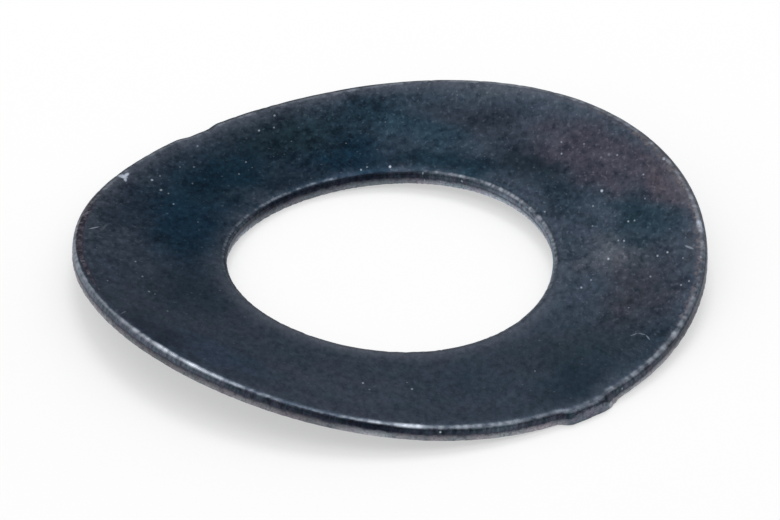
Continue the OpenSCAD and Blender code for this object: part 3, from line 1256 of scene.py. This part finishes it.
def build_sheared():
    place = wall_place(0.45)
    mottle = noise(place, 8.0, 3.0, 0.65)
    streaky = noise(wall_place(0.15), 6.0, 4.0, 0.6)
    grain = steel_grain(
        place=place_calc("MULTIPLY", place, (3, 3, 3)), below=PLAIN_OXIDE, fine=4.0, cloud=1.0,
        clouding=0.4, contrast=1.2, salt=0.0, drift=0.7)
    rubbed_and_sheen = stored("scuff")
    # Painted reflection lightens the dark burnished colour
    colour = mix(rubbed_and_sheen * eased(streaky, 0.35, 0.65, 0.75, 1.25), BURNISHED, SHEEN_COLOUR)
    tone = eased(mottle, 0.33, 0.67, 0.55, 1.45)
    colour = toned(colour, tone, eased(rubbed_and_sheen, 0.1, 0.3, 1.0, 0.5))
    colour = toned(colour, grain["change"])
    colour = mix(near_tear(mottle, 0.55, 1.35), colour, LILAC)
    colour = under_crumbs(colour, place)
    worn_and_highlit = worn_and_highlit_line(place)
    chips = wall_chips(place=stored("blank_mm", "Vector"))
    # The bright line, worn steel and a painted highlight, and the real chips
    colour = mix(larger(worn_and_highlit, chips["mask"]), colour, STEEL)
    return colour, eased(mottle, 0.2, 0.8, 0.3, 0.46), mottle


finish_material("sheared_band", build_sheared, metal=0.9, bump=0.4, edge_tint=0.72)

# %% [markdown]
# ## The torn band
# Below the sheared band the steel broke. The break is rough and matt, so it scatters light and
# looks lighter and greyer than the burnished band above it, with dark crevices in it. Toward its
# foot it is painted lighter, a painted highlight along the lower edge.

# %% Finish: torn band
# Top and foot colours of the torn band; the paler foot is a painted highlight
OUTSIDE_TEAR = (paint(80, 83, 94), paint(158, 160, 167))
BORE_TEAR = (paint(76, 82, 94), paint(148, 154, 164))
STUB_TEAR = (paint(103, 114, 124), paint(111, 114, 129))
DARK_TEAR = paint(44, 44, 56)
CREVICE = paint(60, 62, 74)


def build_torn():
    place = stored("blank_mm", "Vector")
    stub_here = stored("stub")
    grain = steel_grain(
        place=place, below=PLAIN_OXIDE, fine=13.0, cloud=4.0, clouding=0.4, contrast=2.4,
        salt=0.1, drift=scaled(stub_here, -0.15, 0.4))
    # Painted highlight: lighter toward the foot of the torn band
    painted_lower_highlight = eased(axes_of(place)[2], 0.03, -0.24)
    outside = mix(painted_lower_highlight, *OUTSIDE_TEAR)
    inside = mix(painted_lower_highlight, *BORE_TEAR)
    on_bore = calc("LESS_THAN", from_axis(stored("blank_mm", "Vector")), BETWEEN_WALLS)
    colour = toned(mix(on_bore, outside, inside), stored("torn"))
    sheen = eased(noise(place, 2.4, 1.0), 0.38, 0.62)
    stub_face = mix(sheen, *STUB_TEAR)
    colour = toned(mix(stub_here, colour, stub_face), grain["change"])
    mottle = noise(wall_place(0.45), 7.0, 3.0, 0.6)
    colour = mix(near_tear(mottle, 0.7, 1.4), DARK_TEAR, colour)
    crevices = eased(noise(wall_place(0.8), 7.0, 3.0), 0.3, 0.46, 1.0, 0.0)
    colour = mix(crevices * 0.4, colour, CREVICE)
    dots = specks(place=place, per_mm=6.0, share=0.12, size=0.25)
    chips = wall_chips(place=place)
    colour = mix(larger(dots["mask"] * 0.35, chips["mask"]), colour, STEEL)
    return colour, eased(grain["height"], 0.3, 0.7, 0.55, 0.8), grain["height"]


finish_material("torn_band", build_torn, metal=0.55, bump=0.8, edge_tint=0.8)

# %% [markdown]
# ## The underside
# The underside has the same oxide. It is the side that slides when the screw is tightened, and
# the middle of the arc, which it stands on, is rubbed lighter.

# %% Finish: underside
UNDER_SHIFT = (31, 17, 5)
UNDER_OXIDE = (paint(33, 47, 59), paint(52, 61, 72))
RUBBED = paint(140, 147, 156)


def build_underside():
    place = place_calc("ADD", stored("blank_mm", "Vector"), UNDER_SHIFT)
    grain = steel_grain(
        place=place, below=PLAIN_OXIDE, fine=7.0, cloud=0.9, clouding=0.4, contrast=1.1,
        salt=0.2, drift=0.8)
    clouds = eased(noise(place, 0.35, 3.0), 0.35, 0.65)
    colour = toned(mix(clouds, *UNDER_OXIDE), grain["tone"])
    along = axes_of(stored("blank_mm", "Vector"))[0]
    ridge = eased(calc("ABSOLUTE", along), 0.3, 1.8, 0.4, 0.0)
    rubbed_and_sheen = edge_wear(place=place, amount=ridge, crumbs=2.5, break_up=0.6)
    colour = mix(rubbed_and_sheen["mask"], colour, RUBBED)
    lines = hairlines(place=place, width=0.02)
    dots = specks(place=place, per_mm=3.0, share=0.1, size=0.1)
    colour = mix(larger(dots["mask"] * 0.17, lines["mask"] * 0.11), colour, DUST)
    return colour, eased(grain["height"], 0.3, 0.7, 0.38, 0.52), grain["height"]


finish_material("blackened_underside", build_underside, metal=0.9, bump=0.5, edge_tint=0.5)
mesh.polygons.foreach_set("material_index", np.tile(bands, SECTIONS).astype(np.int32))
mesh.update()

# %% [markdown]
# ## Floor
# The washer lies on a plain pale floor, which catches its soft shadow and lights the walls from
# below. What the camera sees of it is mixed with plain white, so that the shadow stays pale.
# Seen from underneath, the floor lets the view through, so the underside can be looked at.

# %% Floor
FLOOR_HALF = 0.4
FLOOR_Z = -0.00002
FLOOR_GREY = 0.93
SHADOW_LIFT = 0.5
CORNERS = ((-1, -1), (1, -1), (1, 1), (-1, 1))

floor_mesh = bpy.data.meshes.new("floor")
floor_mesh.from_pydata(
    [(x * FLOOR_HALF, y * FLOOR_HALF, FLOOR_Z) for x, y in CORNERS], [], [(0, 1, 2, 3)])
floor = put_in_scene("floor", floor_mesh)

floor_material = bpy.data.materials.new("pale_floor")
start_nodes(floor_material)
floor_paint = node("BsdfDiffuse", {"Color": (FLOOR_GREY, FLOOR_GREY, FLOOR_GREY, 1)})[0]
see_through = node("BsdfTransparent", {})[0]
from_below = node("NewGeometry", {})["Backfacing"]
seen = node("LightPath", {})
seen_by = larger(
    seen["Is Camera Ray"], larger(seen["Is Glossy Ray"], seen["Is Transmission Ray"]))
white = node("Emission", {"Color": (1, 1, 1, 1), "Strength": 1.0})[0]
lit = node("MixShader", {0: seen_by * SHADOW_LIFT, 1: floor_paint, 2: white})[0]
node("OutputMaterial", {"Surface": node("MixShader", {0: from_below, 1: lit, 2: see_through})[0]})
floor_mesh.materials.append(floor_material)
print("floor, mm across:", 2 * FLOOR_HALF / MM)

# %% [markdown]
# ## Light
# Small dark parts are photographed in a white tent. The tent here is the world: its walls are a
# little darker than its roof, so that a face turned toward the walls stays calm and one turned
# toward the roof or the floor is lighter. One wide lamp hangs above and behind. It puts the
# bright line on the rolled edge and a soft shadow under the arc.

# %% Light
WALL_LEVEL = 0.6
ROOF_LEVEL = 1.15
WALL_TOP = math.sin(math.radians(36))
ROOF_START = math.sin(math.radians(66))
LAMP_SIZE = 0.12
LAMP_HEIGHT = 0.27
LAMP_BEHIND = 0.12
LAMP_WATTS = 0.22

world = bpy.data.worlds.new("tent")
bpy.context.scene.world = world
start_nodes(world)
direction = node("TexCoord", {})["Generated"]
level = eased(axes_of(direction)[2], WALL_TOP, ROOF_START, WALL_LEVEL, ROOF_LEVEL)
in_view = node("LightPath", {})["Is Camera Ray"]
seen_level = level + in_view * calc("SUBTRACT", 1.0, level)
tent = node("Background", {"Color": (1, 1, 1, 1), "Strength": seen_level})[0]
node("OutputWorld", {"Surface": tent})

lamp_data = bpy.data.lights.new("overhead", "AREA")
lamp_data.shape = "SQUARE"
lamp_data.size = LAMP_SIZE
lamp_data.energy = LAMP_WATTS
lamp = put_in_scene("overhead", lamp_data)
level_back = Vector((-toward_camera.x, -toward_camera.y, 0)).normalized()
lamp.location = level_back * LAMP_BEHIND + Vector((0, 0, LAMP_HEIGHT))
lamp.rotation_mode = "QUATERNION"
lamp.rotation_quaternion = lamp.location.to_track_quat("Z", "Y")
bpy.context.scene.view_settings.view_transform = "Standard"
print("lamp, m from the washer:", round(lamp.location.length, 3))
